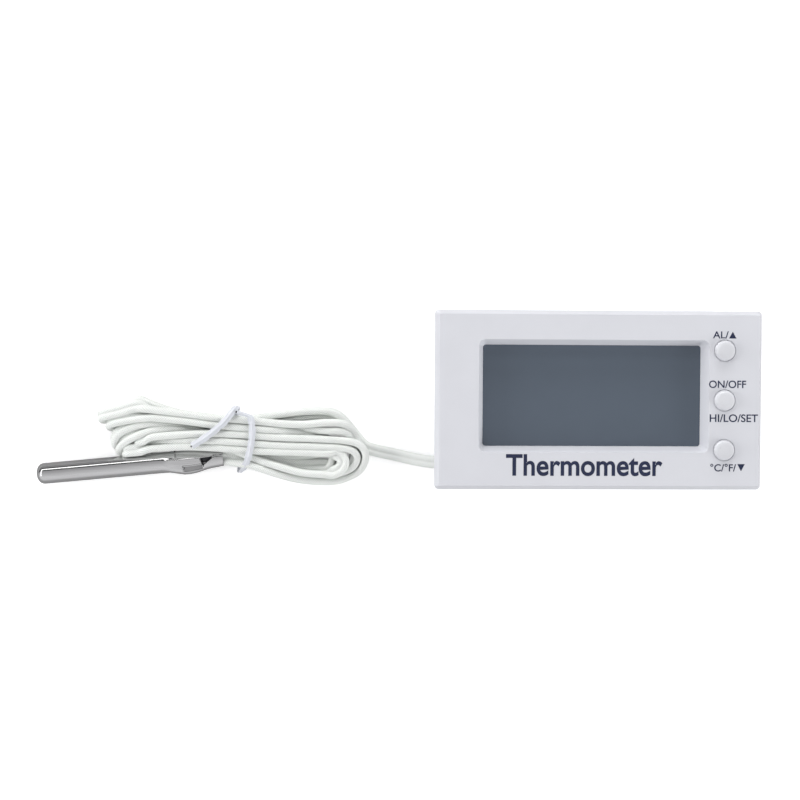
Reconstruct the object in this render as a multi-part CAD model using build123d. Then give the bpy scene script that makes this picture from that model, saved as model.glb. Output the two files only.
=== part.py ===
"""Panel thermometer with a remote probe on a braided cord, lying face up.

Millimetres. The origin is the middle of the case's back face, +Z points out of the
display, +X to the button side and +Y to the top of the display. The probe and the tied
hank of cord lie on the plane that the case's back rests on, z = 0.
"""
import math
import os

from build123d import *

# ---------------------------------------------------------------- driving dimensions
FLANGE_W, FLANGE_H = 77.0, 42.0      # front flange, at its rim
BODY_W, BODY_H = 72.0, 39.0          # rear body that passes through the panel
BODY_D = 15.0                        # rear body's depth, and the height of the flange's seat
FACE_Z = 18.0                        # front face
RIM_T = 0.8                          # straight part of the flange's edge
BEVEL = 1.0                          # how far the flange's sloping edge leans in
REBATE = 0.4                         # how far the body's wall stands into the flange's back
WALL = 1.6
FIT = 0.1                            # clearance between parts that slide into each other
EPS = 0.05

PLATE_Z = 16.2                       # inner side of the front plate
LIP_Z, LIP_T = 13.3, 1.1             # locating lip of the bezel

WINDOW = (-1.35, 1.0)                # centre of the display window
WINDOW_OUT = (54.0, 26.3)            # at the front face
WINDOW_IN = (51.5, 23.8)             # at the foot of its sloping walls
WELL = (53.9, 26.2)                  # outside of the well's walls
WELL_Z = 14.05                       # foot of the window's walls

BUTTON_X = 29.3
BUTTONS = {"alarm_up": 11.75, "on_set": 0.1, "unit_down": -11.55}
CAP_R, HOLE_R, COLLAR_R = 2.3, 2.6, 2.95
CAP_TOP = 19.3
TRAVEL = 0.3

TOWERS = [(-31.2, 13.2), (-31.2, -7.0), (30.9, 5.9), (30.9, -5.7)]
POSTS = [(-31.2, 3.5), (-18.0, -15.7), (22.0, -15.7)]
TOWER_R, BOSS_R, POST_R = 2.8, 2.2, 1.8
TOWER_TOP, BOSS_Z = 12.4, 12.5

BOARD_Z, BOARD_T = 9.0, 1.2
BOARD_TOP = BOARD_Z + BOARD_T

CELL_R, CELL_H, CELL_Z = 5.8, 5.4, 1.5
CELLS = {"a": (8.0, -7.0), "b": (20.2, -7.0)}
POCKET = (1.8, 26.4, -13.2, -0.8)    # battery opening: low x, high x, low y, high y
POCKET_ROOF = 7.3
DOOR = (0.3, 27.9, -BODY_H / 2, 0.5)
DOOR_T, TONGUE = 1.2, 0.6

BUZZER = (-17.0, 3.0)

CORD_D = 2.6
CORD_ROUTE = [(-30.0, -15.0, 4.0), (-36.6, -15.7, 4.0), (-42.0, -15.0, 2.6),
              (-47.0, -13.9, 1.35), (-52.9, -12.7, 1.35)]

PROBE_TIP = (-133.0, -18.7)          # the rod's tip, on the ground plane
PROBE_ANGLE = 5.34                   # degrees from +X
PROBE_R, PROBE_BORE = 2.5, 2.1
ROD_L, PROBE_L = 31.6, 44.6          # round part, and the whole sheath with its crimp

HANK_H, HANK_CROWN = 7.0, 1.6
HANK_MIDDLE = (-86.0, -10.5)
HANK_OUTLINE = [(-118.7, -4.7), (-116.2, -9.6), (-112.5, -13.4), (-102.0, -14.0), (-92.0, -15.6),
                (-84.6, -17.0), (-73.0, -19.9), (-63.9, -21.3), (-55.2, -18.6), (-53.0, -14.5),
                (-55.0, -10.0), (-60.2, -2.8), (-65.6, -1.0), (-72.4, -1.8), (-82.0, -3.9),
                (-92.0, -3.8), (-102.4, -1.9), (-108.6, -0.1), (-112.9, -2.4)]
TIE_X = -82.0
TIE_R = 0.8


# ---------------------------------------------------------------- helpers
def block(x0, x1, y0, y1, z0, z1):
    """A box between two corners."""
    return Pos(x0, y0, z0) * Box(x1 - x0, y1 - y0, z1 - z0, align=Align.MIN)


def post(x, y, z0, z1, r):
    """An upright cylinder from z0 to z1."""
    return Pos(x, y, z0) * Cylinder(r, z1 - z0, align=(Align.CENTER, Align.CENTER, Align.MIN))


def slab(w, h, z0, z1, r, centre=(0.0, 0.0)):
    """An upright block with rounded corners, round a centre."""
    return Pos(*centre, z0) * extrude(RectangleRounded(w, h, r), z1 - z0)


def bend_radii(points):
    """One radius per corner: as large as the two runs beside it allow."""
    radii = []
    for a, b, c in zip(points, points[1:], points[2:]):
        before, after = Vector(*b) - Vector(*a), Vector(*c) - Vector(*b)
        half_turn = math.radians(before.get_angle(after)) / 2
        radii.append(0.45 * min(before.length, after.length) / math.tan(half_turn))
    return radii


def tube(points, r):
    """A round wire or cord along straight runs joined by tangent arcs."""
    path = FilletPolyline(*points, radius=bend_radii(points))
    section = Plane(origin=path @ 0, z_dir=path % 0) * Circle(r)
    return sweep(section, path=path), path.length


def group(solids):
    """Several separate solids under one node."""
    return Compound([s for part in solids for s in part.solids()])


def on_probe(shape):
    """From the probe's own frame, +X from its tip along its axis, to its place."""
    return Pos(*PROBE_TIP, PROBE_R) * Rot(0, 0, PROBE_ANGLE) * shape


def rod_x(s0, s1, r, y=0.0):
    """A cylinder along the probe's axis."""
    return Pos(s0, y, 0) * Rot(0, 90, 0) * Cylinder(
        r, s1 - s0, align=(Align.CENTER, Align.CENTER, Align.MIN))


# ---------------------------------------------------------------- case
def front_bezel():
    rim = slab(FLANGE_W, FLANGE_H, BODY_D, BODY_D + RIM_T, 1.0)
    rise = FACE_Z - BODY_D - RIM_T
    slope = math.degrees(math.atan(BEVEL / rise))
    crown = Pos(0, 0, BODY_D + RIM_T) * extrude(
        RectangleRounded(FLANGE_W, FLANGE_H, 1.0 + EPS), rise, taper=slope)
    lip_w, lip_h = BODY_W - 2 * (WALL + FIT), BODY_H - 2 * (WALL + FIT)
    shell = rim + crown - slab(BODY_W + EPS, BODY_H + EPS, BODY_D - 1, BODY_D + REBATE, 1.5)
    shell += slab(lip_w, lip_h, LIP_Z, BODY_D + REBATE + EPS, 1.2)
    shell -= slab(lip_w - 2 * LIP_T, lip_h - 2 * LIP_T, LIP_Z - 1, PLATE_Z, 0.8)
    shell += slab(*WELL, WELL_Z, PLATE_Z + EPS, 1.2, WINDOW)
    for x, y in TOWERS:
        shell += post(x, y, BOSS_Z, PLATE_Z + EPS, BOSS_R)
        shell -= post(x, y, BOSS_Z - 1, PLATE_Z + 0.6, 0.9)
    for x, y in POSTS:
        shell += post(x, y, BOARD_TOP, PLATE_Z + EPS, POST_R)
        shell -= post(x, y, BOARD_TOP - 1, PLATE_Z - 0.8, 0.8)
    window = loft([Pos(*WINDOW, WELL_Z) * RectangleRounded(*WINDOW_IN, 0.7),
                   Pos(*WINDOW, FACE_Z) * RectangleRounded(*WINDOW_OUT, 1.4)])
    shell -= window
    for y in BUTTONS.values():
        shell -= post(BUTTON_X, y, PLATE_Z - 1, FACE_Z + 1, HOLE_R)
    return shell


def rear_case():
    shell = slab(BODY_W, BODY_H, 0, BODY_D + REBATE, 1.5)
    shell = chamfer(shell.faces().sort_by(Axis.Z)[0].edges(), 0.5)
    shell -= slab(BODY_W - 2 * WALL, BODY_H - 2 * WALL, WALL, BODY_D + 1, 1.2)
    x0, x1, y0, y1 = POCKET
    inner_y = BODY_H / 2 - WALL
    shell += block(x0 - 3.8, x1 + 2.4, -inner_y - EPS, y1 + 2.0, WALL - EPS, WALL + 1.0)
    shell += block(x0 - 1, x1 + 1, y0 - 1, y1 + 1, WALL, POCKET_ROOF + 0.9)
    for x, y in TOWERS:
        shell += post(x, y, WALL - EPS, TOWER_TOP, TOWER_R)
    shell -= block(x0, x1, y0, y1, -1, POCKET_ROOF)
    for x, y in TOWERS:
        shell -= post(x, y, -1, TOWER_TOP + 1, 1.2)
        shell -= post(x, y, -1, 2.2, 2.1)
    # the way that the battery cover slides, and the grooves for its tongues
    door_x0, door_x1, door_y0, door_y1 = DOOR
    shell -= block(door_x0 - FIT, door_x1 + FIT, door_y0 - 1, door_y1 + FIT, -1, WALL)
    for low in (door_x0 - TONGUE - FIT, door_x1 + FIT - EPS):
        shell -= block(low, low + TONGUE + EPS, door_y0 - 1, 0.1, 0.38, 1.02)
    # slots for the battery contacts' tails
    shell -= block(x0 - 1.5, x0 + EPS, -8.1, -5.9, POCKET_ROOF - 0.3, POCKET_ROOF)
    shell -= block(x1 - EPS, x1 + 1.5, -11.6, -9.4, POCKET_ROOF - 0.3, POCKET_ROOF)
    # the buzzer's seat and its sound holes
    shell += post(*BUZZER, WALL - EPS, 3.0, 9.0) - post(*BUZZER, 0, 4, 7.8)
    for k in range(6):
        turn = math.radians(60 * k)
        x, y = BUZZER[0] + 3.2 * math.cos(turn), BUZZER[1] + 3.2 * math.sin(turn)
        shell -= post(x, y, -1, WALL + 1, 0.6)
    shell -= post(*BUZZER, -1, WALL + 1, 0.6)
    # cord hole
    shell -= Pos(-BODY_W / 2 + WALL / 2, -15.57, 4.0) * Rot(0, 90, 0) * Cylinder(1.6, 2 * WALL)
    # snap tongues that hold the body in a panel
    for side in (-1, 1):
        outside = side * BODY_W / 2
        for y in (-4.6, 4.0):
            shell -= Pos(outside, y + 0.3, 8.6) * Box(2 * WALL + 1, 0.6, 9.2)
        shell -= Pos(outside, 0, 12.9) * Box(2 * WALL + 1, 9.2, 0.6)
        profile = Polyline((outside - side * 0.5, 5.0), (outside, 5.0), (outside + side * 1.4, 11.6),
                           (outside, 12.6), (outside - side * 0.5, 12.6), close=True)
        wedge = Plane.XZ * make_face(profile)
        shell += Pos(0, 4.0, 0) * extrude(wedge, 8.0)
    return shell


def battery_cover():
    x0, x1, y0, y1 = DOOR
    cover = block(x0, x1, y0, y1, 0, DOOR_T)
    cover += block(x0, x1, y0, y0 + 1.2, 0, WALL - EPS)
    for low in (x0 - TONGUE, x1 - EPS):
        cover += block(low, low + TONGUE + EPS, -17.0, 0.0, 0.45, 0.95)
    for k in range(5):
        y = y0 + 2.4 + 1.1 * k
        cover -= block(x0 + 7, x1 - 7, y, y + 0.5, -1, 0.3)
    return cover


def case_screw(x, y):
    head = post(x, y, 0.6, 2.2, 1.9)
    head = chamfer(head.edges().sort_by(Axis.Z)[0], 0.3)
    for turn in (0, 90):
        head -= Pos(x, y, 0.6) * Rot(0, 0, turn) * Box(2.4, 0.45, 1.2)
    return head + post(x, y, 2.2, BOSS_Z, 1.0) + post(x, y, BOSS_Z, PLATE_Z, 0.85)


def board_screw(x, y):
    head = post(x, y, BOARD_Z - 1.0, BOARD_Z, 1.4)
    for turn in (0, 90):
        head -= Pos(x, y, BOARD_Z - 1.0) * Rot(0, 0, turn) * Box(1.8, 0.35, 0.8)
    return head + post(x, y, BOARD_Z, PLATE_Z - 1.5, 0.75)


# ---------------------------------------------------------------- display
def display():
    """The bonded layers, from the front; the wide front glass leaves a ledge for the contacts."""
    x, y = WINDOW
    full, short = 28.2, 25.4
    low = y - 13.2
    layer = {
        "lcd_front_polariser": (52.8, 24.9, 13.8, 14.0, y - 12.45),
        "lcd_front_glass": (53.2, full, 12.7, 13.8, low),
        "lcd_rear_glass": (53.2, short, 11.6, 12.7, low),
        "lcd_reflector": (52.8, 24.9, 11.4, 11.6, y - 12.95),
    }
    parts = {name: block(x - w / 2, x + w / 2, y0, y0 + h, z0, z1)
             for name, (w, h, z0, z1, y0) in layer.items()}
    frame = block(x - 25.4, x + 25.4, low + 0.4, low + short - 0.4, BOARD_TOP, 11.4)
    parts["lcd_frame"] = frame - block(x - 22.5, x + 22.5, low + 3, low + short - 3, BOARD_TOP - 1, 12)
    parts["zebra_strip"] = block(x - 24, x + 24, low + short + 0.4, low + full - 0.4, BOARD_TOP, 12.7)
    return parts


# ---------------------------------------------------------------- buttons
def button_cap(y):
    cap = post(BUTTON_X, y, 15.0, CAP_TOP, CAP_R)
    cap = fillet(cap.edges().sort_by(Axis.Z)[-1], 0.45)
    return cap + post(BUTTON_X, y, 15.0, 15.9, COLLAR_R) + post(BUTTON_X, y, 14.5, 15.0, 1.6)


def plunger(y):
    return post(BUTTON_X, y, 12.9, 14.5, 1.5) + post(BUTTON_X, y, 12.4, 12.9, 2.1)


def switch_housing(y):
    body = block(BUTTON_X - 3, BUTTON_X + 3, y - 3, y + 3, BOARD_TOP, 13.4)
    return body - post(BUTTON_X, y, 11.4, 14, 2.4)


def switch_plate(y):
    plate = block(BUTTON_X - 3, BUTTON_X + 3, y - 3, y + 3, 13.4, 13.6)
    return plate - post(BUTTON_X, y, 13, 14, 1.6)


def switch_dome(y):
    """A thin snap dome: a spherical cap 0.9 high on a 4.4 wide circle."""
    rise, half = 0.95, 2.2
    r = (half ** 2 + rise ** 2) / (2 * rise)
    ball = Pos(BUTTON_X, y, 11.4 + rise - r) * Sphere(r)
    inner = Pos(BUTTON_X, y, 11.4 + rise - r) * Sphere(r - 0.12)
    return (ball - inner) & block(BUTTON_X - 3, BUTTON_X + 3, y - 3, y + 3, 11.4, 13)


def switch_legs():
    legs = []
    for y in BUTTONS.values():
        for dx in (-3.5, 3.0):
            for dy in (-2.3, 1.7):
                x = BUTTON_X + dx
                legs.append(block(x, x + 0.5, y + dy, y + dy + 0.6, BOARD_TOP, BOARD_TOP + 1.0))
    return group(legs)


# ---------------------------------------------------------------- board and power
def circuit_board():
    board = slab(BODY_W - 2 * WALL - 1.0, BODY_H - 2 * WALL - 1.0, BOARD_Z, BOARD_TOP, 1.0)
    notch = TOWER_R + 0.2
    for x, y in TOWERS:
        board -= post(x, y, BOARD_Z - 1, BOARD_TOP + 1, notch)
        edge = math.copysign(BODY_W / 2, x)
        board -= block(min(x, edge), max(x, edge), y - notch, y + notch, BOARD_Z - 1, BOARD_TOP + 1)
    for x, y in POSTS:
        board -= post(x, y, BOARD_Z - 1, BOARD_TOP + 1, 0.9)
    return board


def chip_blob():
    """Epoxy drop over the bonded chip, under the board."""
    rise, half = 1.4, 5.0
    r = (half ** 2 + rise ** 2) / (2 * rise)
    ball = Pos(10.0, 9.0, BOARD_Z - rise + r) * Sphere(r)
    return ball & block(4, 16, 3, 15, BOARD_Z - 2, BOARD_Z)


def crystal():
    return Pos(-15.0, 14.0, BOARD_Z - 1.0) * Rot(0, 90, 0) * Cylinder(1.0, 6.0)


def chips(places, w, h, t):
    return group([block(x, x + w, y, y + h, BOARD_Z - t, BOARD_Z) for x, y in places])


def cell(x, y, plus_up):
    """A button cell: can, sealing ring and cap, as three closed solids."""
    can = post(x, y, 0, CELL_H - 0.3, CELL_R) - post(x, y, 0.25, CELL_H, CELL_R - 0.25)
    ring = post(x, y, 0.25, CELL_H - 0.25, CELL_R - 0.25) - post(x, y, 0, CELL_H, CELL_R - 0.75)
    cap = post(x, y, 0.25, CELL_H, CELL_R - 0.75)
    solids = [can, ring, cap]
    if plus_up:
        solids = [Pos(0, 0, CELL_H) * mirror(s, about=Plane.XY) for s in solids]
    return [Pos(0, 0, CELL_Z) * s for s in solids]


def contact(x0, x1, y0, y1, tail, dimple):
    """A leaf under the pocket's roof, with a dimple on the cell and a tail through the wall."""
    z0, z1 = POCKET_ROOF - 0.2, POCKET_ROOF
    leaf = block(x0, x1, y0, y1, z0, z1) + block(*tail, z0, z1)
    return leaf + post(*dimple, CELL_Z + CELL_H, z0, 1.2)


# ---------------------------------------------------------------- cord and probe
def twist_tie():
    """A ring round the hank, closed by a twist, with one long tail over the hank."""
    y0, y1, z0, z1 = -17.9, -3.0, TIE_R, HANK_H + TIE_R
    ring = [(TIE_X - 2.0, y0, 3.5), (TIE_X - 1.8, y0, z1), (TIE_X, -7.0, z1), (TIE_X + 0.5, y1, z1),
            (TIE_X, y1, z0), (TIE_X - 1.9, y0, z0), (TIE_X - 2.0, y0, 3.4)]
    loop = tube(ring, TIE_R)[0]
    tail = tube([(TIE_X + 0.4, -3.4, z1), (TIE_X - 3.2, -2.6, z1 + 0.4), (TIE_X - 7.5, -7.8, z1 + 0.4),
                 (TIE_X - 13.9, -12.1, z1 - 0.2)], TIE_R)[0]
    return loop + tail


def cord_hank():
    cx, cy = HANK_MIDDLE
    crown = [(cx + 0.95 * (x - cx), cy + 0.84 * (y - cy)) for x, y in HANK_OUTLINE]
    hank = extrude(make_face(Spline(*HANK_OUTLINE, periodic=True)), HANK_H - HANK_CROWN)
    hank += extrude(make_face(Spline(*crown, periodic=True)), HANK_H)
    hank -= on_probe(Pos(0, 0, 2) * block(-5, ROD_L, -9, PROBE_R + 1.15, -9, 9))
    hank -= on_probe(Pos(0, 0, 2) * block(ROD_L - EPS, PROBE_L + 0.6, -9, 3.3, -9, 9))
    end = Vector(*CORD_ROUTE[-1])
    return hank - block(end.X, end.X + 3, -22, 0, -1, HANK_H + 1)


def crimp_sections(shape):
    """Loft sections along the crimp: the tube is squeezed flat, then closes on the cord."""
    return loft([Pos(s, 0, 0) * (Plane.YZ * Ellipse(a, b)) for s, a, b in shape])


def probe_sheath():
    outer = rod_x(PROBE_R, ROD_L, PROBE_R) + Pos(PROBE_R, 0, 0) * Sphere(PROBE_R)
    outer += crimp_sections([(ROD_L, 2.5, 2.5), (ROD_L + 4.4, 3.0, 1.95),
                             (ROD_L + 8.5, 2.6, 1.9), (PROBE_L, 1.9, 1.8)])
    inner = rod_x(PROBE_R, ROD_L, PROBE_BORE) + Pos(PROBE_R, 0, 0) * Sphere(PROBE_BORE)
    inner += crimp_sections([(ROD_L, 2.1, 2.1), (ROD_L + 4.4, 2.6, 1.55),
                             (ROD_L + 8.5, 2.2, 1.5), (PROBE_L, 1.4, 1.4)])
    inner += rod_x(PROBE_L - EPS, PROBE_L + 1, 1.4)
    return outer - inner


def probe_inside():
    bead = Pos(4.2, 0, 0) * Sphere(1.1)
    legs = [rod_x(4.8, 24.0, 0.15, y) - bead for y in (0.4, -0.4)]
    potting = rod_x(PROBE_R, 22.0, PROBE_BORE) + Pos(PROBE_R, 0, 0) * Sphere(PROBE_BORE)
    potting -= bead
    for leg in legs:
        potting -= leg
    cores = [rod_x(24.0, 34.0, 0.45, y) for y in (0.55, -0.55)]
    parts = {"thermistor_bead": bead, "thermistor_legs": group(legs), "probe_potting": potting,
             "probe_cores": group(cores),
             "cord_end": rod_x(34.0, PROBE_L + 0.6, CORD_D / 2)}
    return {name: on_probe(solid) for name, solid in parts.items()}


def retaining_tie():
    """A nylon tie round the cord, inside the case, that stops it being pulled out."""
    along = Vector(*CORD_ROUTE[1]) - Vector(*CORD_ROUTE[0])
    middle = Vector(*CORD_ROUTE[0]) + along * 0.42
    place = Plane(origin=middle, z_dir=along)
    ring = Cylinder(2.1, 2.4) - Cylinder(CORD_D / 2 + 0.01, 4)
    return place * ring


# ---------------------------------------------------------------- assembly
parts = {"front_bezel": front_bezel(), "rear_case": rear_case(), "battery_cover": battery_cover()}
parts["case_screws"] = group([case_screw(x, y) for x, y in TOWERS])
parts["board_screws"] = group([board_screw(x, y) for x, y in POSTS])
parts.update(display())

for name, y in BUTTONS.items():
    parts[f"button_{name}"] = button_cap(y)
    parts[f"plunger_{name}"] = plunger(y)
    parts[f"switch_housing_{name}"] = switch_housing(y)
    parts[f"switch_plate_{name}"] = switch_plate(y)
    parts[f"switch_dome_{name}"] = switch_dome(y)
parts["switch_legs"] = switch_legs()

parts["circuit_board"] = circuit_board()
parts["chip_blob"] = chip_blob()
parts["crystal"] = crystal()
parts["chip_resistors"] = chips([(18, 4), (18, 6), (18, 8), (22, 10), (22, 12)], 1.6, 0.8, 0.45)
parts["chip_capacitors"] = chips([(-2, 12), (-2, 6), (22, 14.5)], 2.0, 1.25, 0.9)

for side, (x, y) in CELLS.items():
    for piece, solid in zip(("can", "seal", "cap"), cell(x, y, plus_up=side == "b")):
        parts[f"cell_{side}_{piece}"] = solid
parts["contact_negative"] = contact(5, 11, -9.5, -4.5, (-0.8, 5.1, -8.0, -6.0), CELLS["a"])
parts["contact_positive"] = contact(17, 23, -11.5, -4.5, (22.9, 29.6, -11.5, -9.5), CELLS["b"])
parts["contact_link"] = block(4, 24.2, -9.5, -4.5, DOOR_T, DOOR_T + 0.2)

parts["buzzer_disc"] = post(*BUZZER, 3.0, 3.3, 10.0)
parts["buzzer_ceramic"] = post(*BUZZER, 3.3, 3.55, 7.0)

wires = {
    "wire_battery_negative": [(0.4, -7, 7.8), (-4.0, -7, 7.8), (-4.0, -7, BOARD_Z)],
    "wire_battery_positive": [(29.0, -10.5, 7.8), (29.0, -13.5, 7.8), (29.0, -13.5, BOARD_Z)],
    "wire_buzzer_disc": [(-9.5, 3, 3.8), (-6.5, 3, 3.8), (-5.0, 3, 6.0), (-5.0, 3, BOARD_Z)],
    "wire_buzzer_ceramic": [(-17, 4, 4.05), (-17, 8, 4.05), (-17, 9.5, 6.0), (-17, 9.5, BOARD_Z)],
    "lead_wire_a": [(-29.8, -14.45, 4.0), (-26.5, -14.2, 4.0), (-23.0, -12.0, 5.5),
                    (-21.5, -10.0, 7.0), (-21.5, -10.0, BOARD_Z)],
    "lead_wire_b": [(-29.8, -15.55, 4.0), (-26.0, -15.4, 4.0), (-22.5, -13.8, 5.5),
                    (-20.0, -13.0, 7.0), (-20.0, -13.0, BOARD_Z)],
}
for name, points in wires.items():
    parts[name] = tube(points, 0.5)[0]

parts["probe_cord"], cord_length = tube(CORD_ROUTE, CORD_D / 2)
parts["cord_hank"] = cord_hank()
parts["twist_tie"] = twist_tie()
parts["retaining_tie"] = retaining_tie()
parts["probe_sheath"] = on_probe(probe_sheath())
parts.update(probe_inside())

print("cord bend radii", [round(r, 1) for r in bend_radii(CORD_ROUTE)])
section = math.pi * CORD_D ** 2 / 4
print(f"cord length {cord_length:.2f}, volume {parts['probe_cord'].volume:.2f}, "
      f"section x length {section * cord_length:.2f}")

os.makedirs("parts", exist_ok=True)
for name, shape in parts.items():
    export_step(shape, f"parts/{name}.step")
print(len(parts), "nodes")
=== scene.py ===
"""Looks of the panel thermometer: white case with a grey display, braided cord in a tied hank, steel probe.

Lengths are millimetres until a mesh is made, when MM turns them into metres. The cord's route, exit and
length, the floor, the lights and the camera are in metres throughout. X runs along the case, Y across it and
Z up from the floor that everything lies on.
"""

import math

import bpy
import numpy as np
from mathutils import Matrix, Vector


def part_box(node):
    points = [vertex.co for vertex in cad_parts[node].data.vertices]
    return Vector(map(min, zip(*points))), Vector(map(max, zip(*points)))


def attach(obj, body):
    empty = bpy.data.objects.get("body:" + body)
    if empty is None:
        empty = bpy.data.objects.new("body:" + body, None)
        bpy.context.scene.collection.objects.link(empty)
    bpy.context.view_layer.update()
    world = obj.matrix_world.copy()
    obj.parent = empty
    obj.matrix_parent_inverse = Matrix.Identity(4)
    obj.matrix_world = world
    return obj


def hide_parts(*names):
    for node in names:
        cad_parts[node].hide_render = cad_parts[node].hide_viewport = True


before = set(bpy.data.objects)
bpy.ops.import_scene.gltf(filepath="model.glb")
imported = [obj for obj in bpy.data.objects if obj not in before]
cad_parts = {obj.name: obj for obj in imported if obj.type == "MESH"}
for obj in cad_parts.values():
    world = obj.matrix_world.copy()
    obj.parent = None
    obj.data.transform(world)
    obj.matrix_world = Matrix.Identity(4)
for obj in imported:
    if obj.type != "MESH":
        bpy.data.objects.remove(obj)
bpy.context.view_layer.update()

MM = 0.001
BODY = "thermometer"

# ---------------------------------------------------------------- cord
# The route of part.py's cord tube, in metres, from the strain relief out through the case wall.
CORD_ROUTE = [
    (-0.0300, -0.0150, 0.0040),
    (-0.0366, -0.0157, 0.0040),
    (-0.0420, -0.0150, 0.0026),
    (-0.0470, -0.0139, 0.00095),
    (-0.0529, -0.0127, 0.00095),
]
CORE_RADIUS = 0.88
CORE_OFFSET = 0.66
BEAD_PITCH = 0.30
BEAD_HEIGHT = 0.045
LOBE_STEPS = 14

# The hank: fifteen passes between stations along X, each with a y and a height at every station. HANK_LIFT
# raises all of them, and TIE_LIFT those near the tie, which squeezes the strands into a taller stack.
STATIONS = (-106, -98, -90, -82, -76, -70, -64)
HANK_LIFT = 0.1
TIE_LIFT = (0.0, 0.0, 0.1, 0.3, 0.1, 0.0, 0.0)
PASSES = {
    "top_edge": ((-1.9, -4.4, -5.4, -5.4, -4.3, -3.4, -3.2), (1.6, 1.5, 1.5, 1.5, 2.6, 3.0, 3.0)),
    "under_a": ((-4.6, -5.2, -6.4, -8.0, -7.4, -7.2, -8.1), (1.3, 1.3, 1.5, 1.5, 1.6, 2.6, 4.4)),
    "hole_a": ((-6.4, -7.2, -9.0, -11.4, -14.2, -14.4, -13.6), (4.0, 2.0, 1.5, 1.5, 1.5, 1.5, 1.5)),
    "under_b": ((-11.2, -11.4, -12.6, -14.0, -15.6, -17.2, -17.3), (1.3, 1.3, 1.5, 1.5, 1.5, 1.6, 2.6)),
    "second": ((-4.9, -5.6, -6.8, -7.5, -7.9, -8.5, -9.6), (4.6, 4.6, 4.6, 4.6, 4.6, 3.2, 1.8)),
    "hole_b": ((-8.0, -9.0, -10.8, -12.7, -15.0, -16.0, -15.6), (1.3, 1.3, 1.5, 1.5, 1.5, 1.5, 1.5)),
    "first": ((-3.15, -3.95, -5.05, -5.6, -6.2, -6.6, -5.95), (4.6, 4.6, 4.6, 4.6, 4.6, 4.6, 4.6)),
    "under_c": ((-3.2, -4.2, -5.6, -6.5, -6.2, -5.1, -4.7), (1.3, 1.3, 1.5, 1.5, 1.5, 1.5, 1.5)),
    "under_d": ((-12.2, -11.7, -11.6, -16.0, -17.8, -19.4, -20.0), (1.2, 1.3, 1.5, 1.5, 1.5, 1.5, 1.5)),
    "sixth": ((-8.05, -7.5, -10.8, -14.5, -16.3, -18.1, -18.5), (4.4, 3.0, 1.6, 3.7, 4.6, 4.6, 4.6)),
    "fifth": ((-12.4, -11.8, -12.1, -12.75, -13.0, -13.1, -13.35), (4.3, 4.3, 4.4, 4.6, 4.6, 4.6, 4.6)),
    "under_e": ((-12.7, -11.7, -11.4, -15.2, -16.8, -18.2, -18.6), (1.2, 1.2, 1.4, 1.5, 1.5, 1.5, 1.5)),
    "fourth": ((-10.7, -10.55, -10.4, -11.0, -11.5, -11.65, -11.8), (2.6, 4.3, 4.6, 4.6, 4.6, 4.6, 4.6)),
    "third": ((-9.6, -8.9, -8.65, -9.1, -9.6, -9.8, -10.0), (4.6, 4.6, 4.6, 4.6, 4.6, 4.6, 4.6)),
    "last": ((-16.2, -18.3, -20.0, -20.45), (4.2, 4.2, 3.0, 1.8)),
}
# The turn after each pass, folds at the left end and loops at the right end, in the order the cord runs.
TURNS = {
    "top_edge": (
        (-108.8, -0.55, 1.6), (-111.1, -1.5, 1.6), (-111.4, -3.4, 1.6), (-109.0, -4.6, 1.6),
    ),
    "under_a": ((-60.0, -7.9, 4.5), (-57.9, -9.2, 3.6), (-57.6, -11.0, 1.8), (-60.0, -12.6, 1.5)),
    "hole_a": (
        (-110.4, -6.8, 4.2), (-113.6, -8.4, 4.0), (-114.8, -10.8, 3.0), (-113.4, -12.2, 1.6),
        (-109.5, -11.6, 1.3),
    ),
    "under_b": ((-62.9, -16.7, 2.8), (-62.3, -15.0, 3.0), (-62.3, -13.0, 2.2), (-62.0, -11.0, 1.6)),
    "second": ((-110.5, -4.9, 4.5), (-115.6, -6.0, 4.4), (-115.9, -7.0, 1.6), (-111.0, -7.6, 1.3)),
    "hole_b": (
        (-60.2, -16.4, 2.0), (-57.9, -16.0, 3.0), (-57.3, -13.8, 3.2), (-56.6, -11.0, 2.2),
        (-57.0, -8.4, 3.2), (-59.5, -6.1, 4.6),
    ),
    "first": (
        (-109.0, -1.95, 4.6), (-113.0, -3.45, 4.6), (-117.6, -4.3, 4.4), (-117.7, -5.4, 1.6),
        (-111.0, -3.8, 1.3),
    ),
    "under_c": (
        (-60.5, -5.6, 1.5), (-57.6, -8.4, 1.5), (-55.4, -12.0, 1.5), (-54.9, -15.0, 1.5),
        (-56.0, -18.0, 1.5), (-59.5, -19.4, 1.5),
    ),
    "under_d": (
        (-110.5, -13.0, 1.2), (-113.4, -13.4, 1.6), (-113.6, -11.6, 3.6), (-110.5, -9.3, 4.4),
    ),
    "sixth": ((-61.8, -18.0, 4.8), (-59.9, -16.7, 5.1), (-59.6, -14.8, 5.1), (-61.0, -13.5, 4.8)),
    "fifth": (
        (-109.0, -12.7, 4.4), (-111.9, -12.9, 4.2), (-111.9, -13.3, 1.6), (-109.0, -13.2, 1.2),
    ),
    "under_e": (
        (-62.0, -18.6, 2.2), (-59.4, -17.9, 3.0), (-57.0, -16.5, 3.8), (-56.1, -14.3, 4.3),
        (-57.4, -12.5, 4.6), (-60.5, -12.0, 4.6),
    ),
    "fourth": (
        (-107.6, -10.7, 1.8), (-109.0, -10.8, 2.2), (-109.0, -10.4, 4.4), (-107.6, -10.1, 4.7),
    ),
    "third": (
        (-59.0, -10.3, 4.6), (-55.9, -11.0, 4.6), (-54.4, -12.9, 4.6), (-54.3, -15.2, 4.2),
        (-55.6, -17.8, 3.2), (-59.0, -19.6, 2.2), (-61.5, -20.3, 1.8),
    ),
}
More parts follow.
